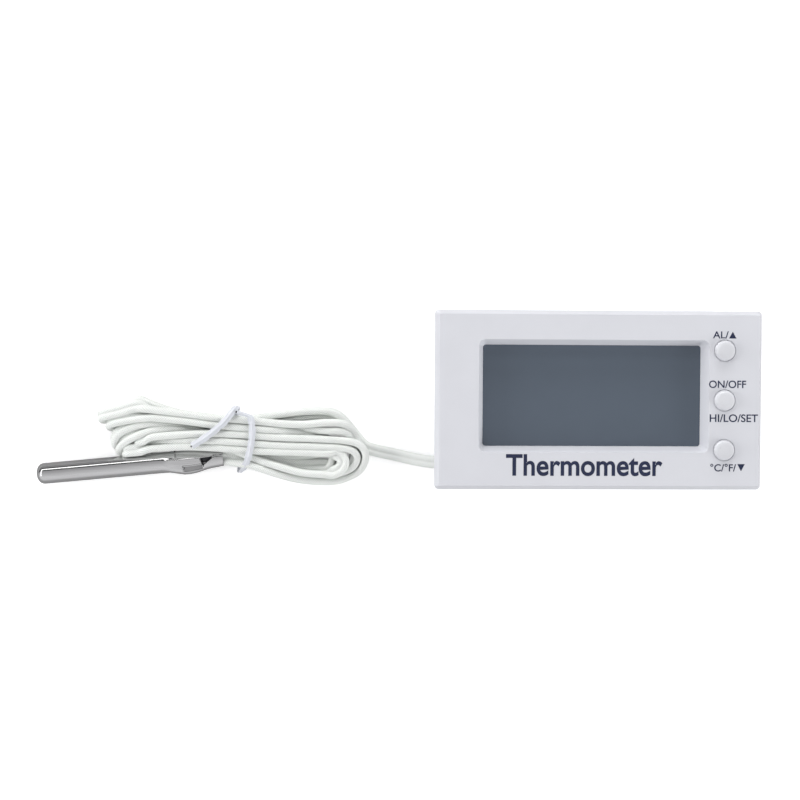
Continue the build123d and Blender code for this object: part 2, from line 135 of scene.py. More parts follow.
INTO_HANK = ((-54.9, -11.9, 0.95), (-56.9, -9.2, 1.2), (-58.8, -6.4, 1.8), (-61.2, -3.9, 2.6))
INTO_PROBE = ((-86.0, -15.3, 2.9), (-88.6, -14.6, 2.5), (-91.2, -14.8, 2.5))

# A fold's wide side leans a little to the front. The tightest loop on top has rolled over to show both cores.
FOLD_LEAN = 0.4
FLAT_LOOP = "sixth"
FLAT_LOOP_CENTRE = np.array((-63.6, -15.6, 0.0))

SPLINE_STEPS = 12

UP = np.array((0.0, 0.0, 1.0))
ACROSS = np.array((0.0, -1.0, 0.0))


def unit(v):
    """v, or each row of it, at length 1."""
    v = np.asarray(v, float)
    return v / np.maximum(np.linalg.norm(v, axis=-1, keepdims=True), 1e-9)


def smooth(x, low, high):
    """0 below low, 1 above high, and a smooth rise between them."""
    t = np.clip((np.asarray(x, float) - low) / (high - low), 0.0, 1.0)
    return t * t * (3 - 2 * t)


def floor_clearance(wide_z):
    """The lowest height of the cord's middle on the floor, when its wide side rises by wide_z."""
    return CORE_RADIUS + BEAD_HEIGHT + CORE_OFFSET * np.abs(wide_z)


def hank_points():
    """The cord's points after its route, in millimetres, each with the way its wide side faces."""
    shares = np.arange(len(INTO_HANK)) / len(INTO_HANK)
    points = [(p, unit(ACROSS * (1 - share) + UP * share)) for p, share in zip(INTO_HANK, shares)]
    for number, (name, (ys, zs)) in enumerate(PASSES.items()):
        first = len(STATIONS) - len(ys)
        lane = []
        for k in range(len(ys)):
            x, lift = STATIONS[first + k], TIE_LIFT[first + k]
            lane.append(((x, ys[k], zs[k] + HANK_LIFT + lift), UP))
        points += lane[::-1] if number % 2 == 0 else lane
        if name not in TURNS:
            continue
        turn = [np.array(p) for p in TURNS[name]]
        faces = UP
        if number % 2 == 0:  # a fold at the left end bends about the cord's wide side
            middle = turn[len(turn) // 2]
            faces = unit(np.cross(middle - turn[0], turn[-1] - middle))
            faces = faces if faces[2] > 0 else -faces
            faces = unit(faces + FOLD_LEAN * ACROSS)
        for p in turn:
            if name == FLAT_LOOP:
                faces = unit((p - FLAT_LOOP_CENTRE) * (1, 1, 0) + UP)
            points.append(((p[0], p[1], p[2] + HANK_LIFT), faces))
    points += [(INTO_PROBE[0], unit(UP + ACROSS))] + [(p, ACROSS) for p in INTO_PROBE[1:]]
    return [((p[0], p[1], max(p[2], floor_clearance(faces[2]))), faces) for p, faces in points]


def spline_line(name, points):
    """The points of the NURBS line with these control points, read from the curve itself."""
    curve = bpy.data.curves.new(name, "CURVE")
    curve.dimensions = "3D"
    curve.resolution_u = SPLINE_STEPS
    spline = curve.splines.new("NURBS")
    spline.points.add(len(points) - 1)
    for point, place in zip(spline.points, points):
        point.co = (*place, 1.0)
    spline.order_u = 3
    spline.use_endpoint_u = True
    holder = bpy.data.objects.new(name, curve)
    bpy.context.scene.collection.objects.link(holder)
    bpy.context.view_layer.update()
    line = bpy.data.meshes.new_from_object(holder.evaluated_get(bpy.context.evaluated_depsgraph_get()))
    places = np.array([v.co[:] for v in line.vertices])
    bpy.data.objects.remove(holder)
    return places


def even_steps(line, step, *values):
    """The line and the values along it at equal steps of about that length, and the distance at each step."""
    run = np.concatenate([[0.0], np.cumsum(np.linalg.norm(np.diff(line, axis=0), axis=1))])
    keep = np.concatenate([[True], np.diff(run) > 1e-9])
    line, run, values = line[keep], run[keep], [v[keep] for v in values]
    at = np.linspace(0.0, run[-1], max(2, int(round(run[-1] / step)) + 1))
    return [np.stack([np.interp(at, run, v[:, k]) for k in range(3)], 1) for v in (line, *values)] + [at]


def directions(line):
    """The way the line runs at each of its points."""
    return unit(np.gradient(line, axis=0))


def tube_mesh(name, rings):
    """A closed mesh through rings of points, in millimetres. Its UVs count points round and rings along."""
    count, around = rings.shape[:2]
    corner = np.arange(count * around).reshape(count, around)
    nxt = np.roll(corner, -1, axis=1)
    faces = np.stack([corner[:-1], nxt[:-1], nxt[1:], corner[1:]], -1).reshape(-1, 4).tolist()
    faces += [corner[0][::-1].tolist(), corner[-1].tolist()]
    mesh = bpy.data.meshes.new(name)
    mesh.from_pydata((rings.reshape(-1, 3) * MM).tolist(), [], faces)
    u = np.arange(around)[None, :] + np.zeros((count - 1, 1))
    v = np.arange(count - 1)[:, None] + np.zeros((1, around))
    uvs = np.stack([np.stack([u, v], -1), np.stack([u + 1, v], -1), np.stack([u + 1, v + 1], -1),
                    np.stack([u, v + 1], -1)], 2).reshape(-1)
    extra = len(mesh.loops) * 2 - len(uvs)
    mesh.uv_layers.new(name="UVMap").data.foreach_set("uv", np.concatenate([uvs, np.zeros(extra)]))
    smooth_flags = np.ones(len(mesh.polygons), bool)
    smooth_flags[-2:] = False
    mesh.polygons.foreach_set("use_smooth", smooth_flags)
    mesh.update()
    return mesh


def add_piece(name, mesh, material, body=BODY):
    """A piece of the object made of that mesh, riding on a CAD body."""
    piece = bpy.data.objects.new(name, mesh)
    bpy.context.scene.collection.objects.link(piece)
    mesh.materials.clear()
    mesh.materials.append(material)
    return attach(piece, body)


# ---------------------------------------------------------------- materials
# Most of a noise texture's values lie between these.
NOISE_LOW, NOISE_HIGH = 0.3, 0.7
# Scales of noise textures, in features per metre.
CLOUDS, WORN_PATCHES, METAL_PATCHES = 140.0, 300.0, 220.0
THREAD_WOBBLE, FIBRES, SLEEVE_PATCHES = 900.0, 4200.0, 700.0
WOBBLE = 0.25
SLEEVE_RELIEF = 0.05


class Shader:
    """A Principled material and short ways to add nodes to it."""

    def __init__(self, name, colour, roughness, metallic=0.0, **sockets):
        self.material = bpy.data.materials.new("look_" + name)
        self.material.use_nodes = True
        self.tree = self.material.node_tree
        self.main = self.tree.nodes["Principled BSDF"]
        self.main.inputs["Base Color"].default_value = (*colour, 1.0)
        self.main.inputs["Roughness"].default_value = roughness
        self.main.inputs["Metallic"].default_value = metallic
        for socket, value in sockets.items():
            self.main.inputs[socket.replace("_", " ")].default_value = value
        self.roughness = roughness

    def node(self, kind, settings=None, **inputs):
        made = self.tree.nodes.new("ShaderNode" + kind)
        for key, value in (settings or {}).items():
            setattr(made, key, value)
        for key, value in inputs.items():
            socket = made.inputs[int(key[1:])] if key[0] == "i" and key[1:].isdigit() else made.inputs[key]
            if isinstance(value, bpy.types.NodeSocket):
                self.tree.links.new(value, socket)
            else:
                socket.default_value = value
        return made

    def math(self, operation, a, b=0.0):
        return self.node("Math", {"operation": operation}, i0=a, i1=b).outputs[0]

    def place(self, stretch=(1.0, 1.0, 1.0)):
        """Where the surface is, in metres, stretched for grain that runs one way."""
        where = self.node("TexCoord").outputs["Object"]
        return self.node("Mapping", Vector=where, Scale=stretch).outputs[0]

    def noise(self, scale, detail=3.0, stretch=(1.0, 1.0, 1.0)):
        made = self.node("TexNoise", Vector=self.place(stretch), Scale=scale, Detail=detail)
        return made.outputs[0]

    def rescale(self, value, low, high):
        return self.node("MapRange", i0=value, i1=NOISE_LOW, i2=NOISE_HIGH, i3=low, i4=high).outputs[0]

    def tint(self, amount, colour_a, colour_b):
        mixed = self.node("Mix", {"data_type": "RGBA"}, i0=amount, i6=(*colour_a, 1.0), i7=(*colour_b, 1.0))
        self.tree.links.new(mixed.outputs[2], self.main.inputs["Base Color"])

    def bump(self, height, distance):
        made = self.node("Bump", Height=height, Strength=1.0, Distance=distance * MM)
        self.tree.links.new(made.outputs[0], self.main.inputs["Normal"])

    def vary_roughness(self, value, spread):
        low, high = self.roughness - spread, self.roughness + spread
        self.tree.links.new(self.rescale(value, low, high), self.main.inputs["Roughness"])


def shaded(colour, share):
    return tuple(c * share for c in colour)


def moulded(name, colour, roughness, grain=2600.0, depth=0.012, shade=0.93, spread=0.07, **sockets):
    """Moulded plastic: a fine eroded grain, faint cloudy marks and patches worn a little smoother."""
    made = Shader(name, colour, roughness, **sockets)
    made.tint(made.rescale(made.noise(CLOUDS, 4.0), 0.0, 1.0), shaded(colour, shade), colour)
    made.vary_roughness(made.noise(WORN_PATCHES, 5.0), spread)
    made.bump(made.noise(grain, 2.0), depth)
    return made.material


def drawn_metal(name, colour, roughness, stretch, depth=0.004, shade=0.85, grain=900.0):
    """Metal with drawing lines that run one way, and faint dull patches."""
    made = Shader(name, colour, roughness, 1.0)
    lines = made.noise(grain, 4.0, stretch)
    made.tint(made.rescale(lines, 0.0, 1.0), shaded(colour, shade), colour)
    made.vary_roughness(made.noise(METAL_PATCHES, 3.0), 0.05)
    made.bump(lines, depth)
    return made.material


def braided(name, gap_shade, thread):
    """Woven glass-fibre sleeve with beads where a thread lies on top; where the relief is low the colour
    darkens towards the gap colour, which is painted shade in the hollows between beads.
    """
    made = Shader(name, thread, 0.5)
    counts = made.node("SeparateXYZ", Vector=made.node("TexCoord").outputs["UV"])
    wobble = made.rescale(made.noise(THREAD_WOBBLE, 2.0), -WOBBLE, WOBBLE)
    across, along = [
        made.math("COSINE", made.math("MULTIPLY", made.math("ADD", counts.outputs[k], wobble), math.pi))
        for k in range(2)
    ]
    bead = made.math("MULTIPLY_ADD", made.math("MULTIPLY", across, along), 0.5)
    bead.node.inputs[2].default_value = 0.5
    fibre = made.noise(FIBRES, 2.0)
    height = made.math("ADD", bead, made.math("MULTIPLY", fibre, 0.5))
    # Painted shade: low places in the relief take the darker gap colour.
    made.tint(made.rescale(height, 0.0, 1.0), gap_shade, thread)
    made.vary_roughness(made.noise(SLEEVE_PATCHES, 3.0), 0.12)
    made.bump(height, SLEEVE_RELIEF)
    return made.material


PLASTIC_WHITE = (0.636, 0.643, 0.680)
LOOKS = {
    "case_white": moulded("case_white", PLASTIC_WHITE, 0.42, shade=0.975),
    "button_white": moulded("button_white", (0.645, 0.652, 0.682), 0.34, depth=0.006),
    "lcd_glass": moulded(
        "lcd_glass", (0.55, 0.60, 0.60), 0.08, grain=900.0, depth=0.001, Transmission_Weight=0.9,
    ),
    "lcd_film": moulded(
        "lcd_film", (0.086, 0.108, 0.140), 0.22, grain=1800.0, depth=0.0004, shade=0.97, spread=0.015,
    ),
    "lcd_reflector": moulded("lcd_reflector", (0.45, 0.47, 0.46), 0.35, depth=0.004),
    "white_plastic": moulded("white_plastic", (0.74, 0.74, 0.72), 0.5),
    "board_green": moulded("board_green", (0.03, 0.16, 0.06), 0.3, grain=1100.0, depth=0.02, shade=0.7),
    "black_plastic": moulded("black_plastic", (0.03, 0.03, 0.033), 0.45),
    "epoxy_black": moulded("epoxy_black", (0.016, 0.016, 0.016), 0.2, grain=500.0, depth=0.02, shade=0.6),
    "ceramic_body": moulded("ceramic_body", (0.32, 0.24, 0.16), 0.6, shade=0.8),
    "piezo": moulded("piezo", (0.70, 0.68, 0.62), 0.45, grain=1500.0, shade=0.9),
    "seal_nylon": moulded("seal_nylon", (0.20, 0.20, 0.22), 0.5),
    "wire_red": moulded("wire_red", (0.50, 0.03, 0.03), 0.35, depth=0.006),
    "wire_black": moulded("wire_black", (0.02, 0.02, 0.02), 0.35, depth=0.006),
    "wire_white": moulded("wire_white", (0.74, 0.74, 0.72), 0.35, depth=0.006),
    "tie_white": moulded("tie_white", (0.65, 0.67, 0.715), 0.32, grain=1400.0, depth=0.02, shade=0.95),
    "potting": moulded("potting", (0.12, 0.12, 0.13), 0.4, shade=0.7),
    "bead": moulded("bead", (0.05, 0.03, 0.02), 0.25, shade=0.7),
    "zebra": drawn_metal("zebra", (0.06, 0.06, 0.065), 0.6, (8.0, 1.0, 1.0), depth=0.01),
    "tin": drawn_metal("tin", (0.66, 0.66, 0.64), 0.3, (1.0, 6.0, 1.0)),
    "brass": drawn_metal("brass", (0.70, 0.52, 0.22), 0.28, (1.0, 8.0, 1.0)),
    "cell_steel": drawn_metal("cell_steel", (0.66, 0.66, 0.66), 0.22, (6.0, 1.0, 1.0)),
    "screw_steel": drawn_metal("screw_steel", (0.50, 0.50, 0.51), 0.35, (3.0, 3.0, 1.0)),
    "probe_steel": drawn_metal(
        "probe_steel", (0.60, 0.60, 0.60), 0.11, (0.15, 4.0, 4.0), depth=0.0006, shade=0.93,
    ),
    "cord_braid": braided("cord_braid", (0.56, 0.585, 0.56), (0.80, 0.82, 0.795)),
}


def paint_seam_shade(material, shade_colour):
    """Paint shade into the steel inside the open seam and groove, where the mesh attribute marks it: there
    the steel turns dull and takes the dark painted shade colour.
    """
    nodes, links = material.node_tree.nodes, material.node_tree.links
    main = nodes["Principled BSDF"]
    inside = nodes.new("ShaderNodeAttribute")
    inside.attribute_name = "painted_seam_shade"
    for socket, value in (("Base Color", (*shade_colour, 1.0)), ("Metallic", (0.0, 0.0, 0.0, 1.0))):
        mixed = nodes.new("ShaderNodeMix")
        mixed.data_type = "RGBA"
        links.new(inside.outputs["Fac"], mixed.inputs[0])
        if main.inputs[socket].is_linked:
            links.new(main.inputs[socket].links[0].from_socket, mixed.inputs[6])
        else:
            mixed.inputs[6].default_value = (1.0, 1.0, 1.0, 1.0)
        mixed.inputs[7].default_value = value
        links.new(mixed.outputs[2], main.inputs[socket])


# Painted shade: the inside of the crimp's open seam, its groove and the tube's mouth are coloured near black
# instead of being left dark by the lights.
paint_seam_shade(LOOKS["probe_steel"], (0.045, 0.05, 0.06))
LEGEND_INK = moulded("legend_ink", (0.012, 0.018, 0.055), 0.5, depth=0.004, shade=0.8)
TIE_WIRE = drawn_metal("tie_wire", (0.10, 0.10, 0.11), 0.4, (1.0, 1.0, 1.0))

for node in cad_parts.values():
    for holder in node.material_slots:
        slot_name = holder.material.name.split(".")[0]
        holder.link = "OBJECT"
        holder.material = LOOKS[slot_name]

# Radius of the small rounding on the mouldings' edges.
EDGES = {"front_bezel": 0.16, "rear_case": 0.16, "battery_cover": 0.12}
for name, radius in EDGES.items():
    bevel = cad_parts[name].modifiers.new("edges", "BEVEL")
    bevel.width = radius * MM
    bevel.segments = 3
    bevel.limit_method = "ANGLE"
    bevel.angle_limit = math.radians(40)
    bevel.harden_normals = False

# ---------------------------------------------------------------- the braided cord
hank = hank_points()
control = [tuple(p) for p in CORD_ROUTE] + [tuple(c * MM for c in p) for p, _ in hank]
facing = np.array([ACROSS] * len(CORD_ROUTE) + [f for _, f in hank])
line = spline_line("cord_line", control) / MM
# On a line of order 3 a control point pulls most at the middle of its own span.
knots = np.concatenate([[0.0], np.arange(1, len(control) - 1) - 0.5, [len(control) - 2.0]])
along_knots = np.linspace(0.0, len(control) - 2.0, len(line))
wide = np.stack([np.interp(along_knots, knots, facing[:, k]) for k in range(3)], 1)
line, wide, run = even_steps(line, BEAD_PITCH, wide)
heading = directions(line)
wide = unit(wide - heading * np.sum(wide * heading, axis=1, keepdims=True))
thick = np.cross(heading, wide)
line[:, 2] = np.maximum(line[:, 2], floor_clearance(wide[:, 2]))

# The section is two round cores side by side; every second corner of it swells into a bead of the sleeve.
half_arc = math.acos(-CORE_OFFSET / CORE_RADIUS)
arc = np.linspace(-half_arc, half_arc, LOBE_STEPS + 1)[:-1]
lobe = [(CORE_OFFSET + CORE_RADIUS * math.cos(a), CORE_RADIUS * math.sin(a)) for a in arc]
section = np.array(lobe + [(-w, -t) for w, t in lobe])
parity = (-1.0) ** (np.arange(len(line))[:, None] + np.arange(len(section))[None, :])
swell = 1.0 + parity * BEAD_HEIGHT / CORE_RADIUS / 2
flat = section[None, :, :] * swell[:, :, None]
rings = line[:, None, :] + flat[:, :, :1] * wide[:, None, :] + flat[:, :, 1:] * thick[:, None, :]
cord = add_piece("braided_cord", tube_mesh("braided_cord", rings), LOOKS["cord_braid"])
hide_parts("probe_cord", "cord_hank", "cord_end")

# ---------------------------------------------------------------- twist tie
TIE_LINE = (
    (-85.0, -3.5, 7.2), (-83.8, -3.9, 7.25), (-82.5, -4.2, 7.2), (-81.7, -4.9, 7.1), (-81.4, -6.9, 6.95),
    (-81.4, -9.6, 6.95), (-81.9, -12.5, 6.9), (-82.5, -14.9, 6.7), (-83.1, -16.3, 5.4), (-83.8, -17.6, 3.6),
    (-84.6, -18.2, 1.8), (-84.4, -17.2, 0.55), (-84.4, -15.6, 0.45), (-85.4, -8.0, 0.45), (-85.8, -4.2, 0.6),
    (-85.5, -3.0, 1.9), (-85.2, -2.5, 3.8), (-85.0, -2.25, 5.8), (-85.4, -2.5, 6.8), (-86.5, -3.9, 7.0),
    (-88.0, -5.9, 7.0), (-90.2, -7.8, 6.95), (-92.7, -9.75, 6.9), (-94.4, -10.8, 6.8), (-95.7, -11.6, 6.6),
)
TIE_STEP = 0.25
TIE_HALF_WIDTH = 0.8
TIE_FILM = 0.11  # half the strip's thickness at its edges
TIE_WIRE_SWELL = 0.27  # how far the wire inside lifts each face of the strip
TIE_WIRE_SPREAD = 0.32  # and over what share of the half width
# The strap lies on the hank's outline, an oval round this y and z.
HANK_MIDDLE = (-11.0, 3.4)
HANK_OVAL = (60.0, 9.0)
# The strip's first end is twisted, so it looks narrower from above.
TWISTED_WIDTH = 0.6
TWISTED_TO = (2.6, 3.6)
# Slow and quick waves in the strip's width: share, waves in radians per millimetre, start.
TIE_WAVES = ((0.05, 2.1, 0.0), (0.04, 5.3, 1.0))
# The bare wire at each end: distance past the strip's end and radius.
TIE_WIRE_STUB = ((-0.6, 0.24), (0.30, 0.24), (0.36, 0.18))

tie_line = spline_line("tie_line", [tuple(c * MM for c in p) for p in TIE_LINE]) / MM
tie_line, tie_run = even_steps(tie_line, TIE_STEP)
tie_heading = directions(tie_line)
outward = unit(np.stack([
    0 * tie_run,
    (tie_line[:, 1] - HANK_MIDDLE[0]) / HANK_OVAL[0],
    (tie_line[:, 2] - HANK_MIDDLE[1]) / HANK_OVAL[1],
], 1))
tie_wide = unit(np.cross(tie_heading, outward))
tie_thick = np.cross(tie_wide, tie_heading)
across = np.linspace(-1.0, 1.0, 15)
film = TIE_FILM * np.sqrt(np.maximum(0.0, 1.0 - across ** 8))
film += TIE_WIRE_SWELL * np.exp(-((across / TIE_WIRE_SPREAD) ** 2))
tie_section = [(w * TIE_HALF_WIDTH, h) for w, h in zip(across, film)]
tie_section += [(w * TIE_HALF_WIDTH, -h) for w, h in list(zip(across, film))[::-1][1:-1]]
tie_section = np.array(tie_section)
ripple = 1.0 + sum(share * np.sin(tie_run * wave + start) for share, wave, start in TIE_WAVES)
ripple *= TWISTED_WIDTH + (1.0 - TWISTED_WIDTH) * smooth(tie_run, *TWISTED_TO)
tie_rings = (
    tie_line[:, None, :]
    + tie_section[None, :, :1] * ripple[:, None, None] * tie_wide[:, None, :]
    + tie_section[None, :, 1:] * tie_thick[:, None, :]
)
tie = add_piece("tie_strap", tube_mesh("tie_strap", tie_rings), LOOKS["tie_white"])
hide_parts("twist_tie")

wire_angles = np.linspace(0.0, 2 * math.pi, 12, endpoint=False)
for label, end, sign in (("a", 0, -1.0), ("b", -1, 1.0)):
    stub_rings = []
    for reach, radius in TIE_WIRE_STUB:
        centre = tie_line[end] + sign * reach * tie_heading[end]
        stub_rings.append([
            centre + radius * (math.cos(a) * tie_wide[end] + math.sin(a) * tie_thick[end])
            for a in wire_angles
        ])
    stub = tube_mesh("tie_wire_" + label, np.array(stub_rings))
    add_piece("tie_wire_" + label, stub, TIE_WIRE)

# ---------------------------------------------------------------- probe
# Distances along the probe are from its tip. Places across it run from -1 at its -Y edge to 1 at its +Y edge.
PROBE_TIP = np.array((-133.0, -18.7, 2.5))
PROBE_ANGLE = math.radians(5.34)
PROBE_RADIUS = 2.5
PROBE_LENGTH = 44.6
DOME_LENGTH = 2.0
DOME_POWER = 2.3
CRIMP_START = 29.8
# Along the crimp: the tube's reach to -Y of the rod's axis, its half height, and its shift towards -Y.
REACH_ALONG = (CRIMP_START, 31.6, 33.0, 35.0, 36.5, 38.5, 40.5, 42.0, PROBE_LENGTH)
REACH = (2.5, 2.55, 2.86, 3.31, 3.37, 3.09, 2.56, 2.34, 2.05)
HEIGHT_ALONG = (CRIMP_START, 33.0, 36.5, 42.0, PROBE_LENGTH)
HEIGHT = (2.5, 2.1, 1.75, 1.7, 1.6)
SHIFT_ALONG = (31.0, 35.0, 38.5, 42.0)
SHIFT = (0.0, 0.25, 0.2, 0.0)
# The crimp's facets start here, and give the top's height across the tube as a share of its half height.
PRESSED_ALONG = (CRIMP_START, 32.4)
CRIMP_ACROSS = (-1.0, -0.94, -0.82, -0.60, -0.24, 0.22, 0.29, 0.80, 1.0)
CRIMP_TOP = (0.0, 0.40, 0.62, 0.78, 0.90, 1.0, 0.92, 0.61, -0.05)
# Its +Y slope sinks further as the tube grows flat and wide, so that it keeps its tilt.
SINK_ACROSS, SINK_SHARE = (0.29, 0.80, 1.0), (0.0, 1.0, 0.0)
SINK_ALONG, SINK_DEPTH = (31.6, 33.0, 36.5), (0.0, 0.04, 0.2)
# The pocket that the crimping tool pressed into it: where it starts, its two sides and its floor.
POCKET_ALONG = (34.4, 35.3)
POCKET_SIDES = ((-0.80, -0.75), (-0.33, -0.26))
POCKET_ACROSS, POCKET_TOP = (-0.76, -0.32), (0.62, 0.426)
# The sheet's corner, rolled over the cord as a flap: its edge, slanted from FLAP_TURN on, and its +Y side.
FLAP_EDGE, FLAP_TURN, FLAP_SLANT, FLAP_RISE = 39.7, -0.48, 4.2, 0.3
FLAP_SIDE = (0.18, 0.26)
# The seam beside the flap stays open, up to the flap's edge.
SEAM_DEPTH = 1.6
SEAM_END = (-0.1, 0.2)
SEAM_EDGE, SEAM_ACROSS, SEAM_SLANT, SEAM_WALL = 39.05, 0.16, 0.9, 0.15
SEAM_SIDE, SEAM_SIDE_FROM, SEAM_SIDE_SLANT = (0.12, 0.20), 39.1, 0.02
# A fine slanted crease across the +Y slope.
CREASE_ALONG, CREASE_ACROSS, CREASE_SLANT, CREASE_WIDTH, CREASE_DEPTH = 33.4, 0.4, 0.4, 0.13, 0.2
CREASE_SIDE = (0.36, 0.46)
# A groove beside the flap at the mouth.
GROOVE_ALONG, GROOVE_SIDES, GROOVE_DEPTH = (42.2, 42.6), ((0.16, 0.24), (0.34, 0.42)), 0.5
# The mouth's rim: distance past the end, and size of the ring there as a share of the end's.
MOUTH = ((0.05, 0.95), (0.0, 0.86), (-0.8, 0.84))
# Rings on the dome, on the rod and along the crimp, and corners in each ring.
DOME_RINGS, ROD_RINGS, CRIMP_RINGS, PROBE_CORNERS = 14, 50, 130, 128
probe_along = np.array((math.cos(PROBE_ANGLE), math.sin(PROBE_ANGLE), 0.0))
probe_side = np.array((-math.sin(PROBE_ANGLE), math.cos(PROBE_ANGLE), 0.0))


def crimp_shape(s):
    """Half width, half height and shift towards -Y of the tube at that distance from the tip."""
    if s < DOME_LENGTH:
        r = PROBE_RADIUS * max(0.0, 1.0 - ((DOME_LENGTH - s) / DOME_LENGTH) ** DOME_POWER) ** (1 / DOME_POWER)
        return r, r, 0.0
    shift = np.interp(s, SHIFT_ALONG, SHIFT)
    return np.interp(s, REACH_ALONG, REACH) - shift, np.interp(s, HEIGHT_ALONG, HEIGHT), shift


def between(x, rise, fall):
    """1 between the two edges, 0 outside them, with smooth flanks."""
    return smooth(x, *rise) * (1 - smooth(x, *fall))


def crimped_top(s, t):
    """The top's height at s along and t across, as a share of the half height, and how far it's in the seam
    or groove, which sets how much shade is painted there.
    """
    rounded = math.sqrt(max(0.0, 1.0 - t * t))
    faceted = np.interp(t, CRIMP_ACROSS, CRIMP_TOP)
    faceted -= np.interp(t, SINK_ACROSS, SINK_SHARE) * np.interp(s, SINK_ALONG, SINK_DEPTH)
    pocket = smooth(s, *POCKET_ALONG) * between(t, *POCKET_SIDES)
    faceted += pocket * (np.interp(t, POCKET_ACROSS, POCKET_TOP) - faceted)

    flap_edge = FLAP_EDGE + FLAP_SLANT * max(0.0, t - FLAP_TURN)
    flap = smooth(s, flap_edge, flap_edge + FLAP_RISE) * (1 - smooth(t, *FLAP_SIDE))
    pressed = smooth(s, *PRESSED_ALONG) * (1 - flap)

    seam_edge = SEAM_EDGE + SEAM_SLANT * (SEAM_ACROSS - t)
    seam = between(s, (seam_edge, seam_edge + SEAM_WALL), (flap_edge + SEAM_END[0], flap_edge + SEAM_END[1]))
    seam *= 1 - smooth(t, *(side + SEAM_SIDE_SLANT * (s - SEAM_SIDE_FROM) for side in SEAM_SIDE))
    groove = smooth(s, *GROOVE_ALONG) * between(t, *GROOVE_SIDES)

    off_crease = s - CREASE_ALONG + CREASE_SLANT * (t - CREASE_ACROSS)
    crease = math.exp(-((off_crease / CREASE_WIDTH) ** 2)) * smooth(t, *CREASE_SIDE)
    cuts = CREASE_DEPTH * crease + SEAM_DEPTH * seam + GROOVE_DEPTH * groove
    return rounded + pressed * (faceted - rounded) - cuts, max(seam, groove)


stations = np.concatenate([
    DOME_LENGTH * (1 - np.cos(np.linspace(0.03, 0.5, DOME_RINGS) * math.pi)),
    np.linspace(DOME_LENGTH + 0.4, CRIMP_START, ROD_RINGS),
    np.linspace(CRIMP_START, PROBE_LENGTH, CRIMP_RINGS)[1:],
])
around = np.linspace(0.0, 2 * math.pi, PROBE_CORNERS, endpoint=False)
# Each corner's share of painted seam shade is listed as the rings are made.
probe_rings, seam_shade_share = [], []
for s in stations:
    w, h, shift = crimp_shape(s)
    ring = []
    for a in around:
        t, up = math.cos(a), math.sin(a)
        rise, inside = crimped_top(s, t) if up > 1e-6 else (up, 0.0)
        seam_shade_share.append(inside)
        ring.append(PROBE_TIP + s * probe_along + (w * t - shift) * probe_side + h * rise * UP)
    probe_rings.append(ring)
end_ring = probe_rings[-1]
end_centre = np.mean(end_ring, axis=0)
for past, size in MOUTH:
    probe_rings.append([end_centre + size * (p - end_centre) + past * probe_along for p in end_ring])
probe_mesh = tube_mesh("probe_tube", np.array(probe_rings))
# The rings of the mouth get the full painted shade.
seam_shade_share += [1.0] * (len(probe_mesh.vertices) - len(seam_shade_share))
probe_mesh.attributes.new("painted_seam_shade", "FLOAT", "POINT").data.foreach_set("value", seam_shade_share)
probe = add_piece("probe_tube", probe_mesh, LOOKS["probe_steel"])
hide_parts("probe_sheath")

# ---------------------------------------------------------------- buttons
# A cap's outline, from the middle of its top over its collar to the middle of its foot: radius and height.
CAP_PROFILE = (
    (0.01, 19.30), (0.9, 19.29), (1.55, 19.25), (1.95, 19.12), (2.18, 18.90), (2.28, 18.60), (2.31, 18.02),
    (2.36, 17.92), (2.53, 17.86), (2.58, 17.78), (2.58, 17.20), (2.50, 17.10), (2.50, 15.90), (2.93, 15.88),
    (2.95, 15.05), (2.90, 15.00), (1.60, 15.00), (1.60, 14.50), (0.01, 14.50),
)
CAP_CORNERS = 64
for name in ("alarm_up", "on_set", "unit_down"):
    low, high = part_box("button_" + name)
    middle = (low + high) / 2 / MM
    angles = np.linspace(0.0, 2 * math.pi, CAP_CORNERS, endpoint=False)
    cap_rings = np.array([
        [(middle.x + r * math.cos(a), middle.y - r * math.sin(a), z) for a in angles] for r, z in CAP_PROFILE
    ])
    mesh = tube_mesh("cap_" + name, cap_rings)
    cap = add_piece("cap_" + name, mesh, LOOKS["button_white"], name + "_button")
    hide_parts("button_" + name)

# ---------------------------------------------------------------- printing on the face
FACE_Z = 18.0
INK = 0.02  # half the ink's thickness


def text_mesh(text, weight):
    """Mesh of text in the built-in face, and the places of its corners. weight thickens the strokes."""
    curve = bpy.data.curves.new("text", "FONT")
    curve.body = text
    curve.extrude = 0.5
    curve.offset = weight
    holder = bpy.data.objects.new("text", curve)
    bpy.context.scene.collection.objects.link(holder)
    bpy.context.view_layer.update()
    mesh = bpy.data.meshes.new_from_object(holder.evaluated_get(bpy.context.evaluated_depsgraph_get()))
    bpy.data.objects.remove(holder)
    return mesh, np.array([v.co[:] for v in mesh.vertices])


def printed(name, text, left, right, base, cap, weight=0.012):
    """Text printed on the face from left to right, standing on base, with capitals as high as cap."""
    mesh, places = text_mesh(text, weight)
    capital = text_mesh("H", weight)[1][:, 1].max()
    low, high = places.min(0), places.max(0)
    places[:, 0] = left + (places[:, 0] - low[0]) / (high[0] - low[0]) * (right - left)
    places[:, 1] = base + places[:, 1] / capital * (cap - base)
    places[:, 2] = FACE_Z + np.sign(places[:, 2]) * INK
    mesh.vertices.foreach_set("co", (places * MM).ravel())
    mesh.update()
    return add_piece(name, mesh, LEGEND_INK)


def printed_triangle(name, left, right, base, tip):
    """A filled triangle printed on the face."""
    outline = ((left, base), (right, base), ((left + right) / 2, tip))
    corners = [(x * MM, y * MM, z * MM) for z in (FACE_Z - INK, FACE_Z + INK) for x, y in outline]
    mesh = bpy.data.meshes.new(name)
    sides = [(0, 1, 4, 3), (1, 2, 5, 4), (2, 0, 3, 5)]
    mesh.from_pydata(corners, [], [(2, 1, 0), (3, 4, 5)] + sides)
    mesh.update()
    return add_piece(name, mesh, LEGEND_INK)


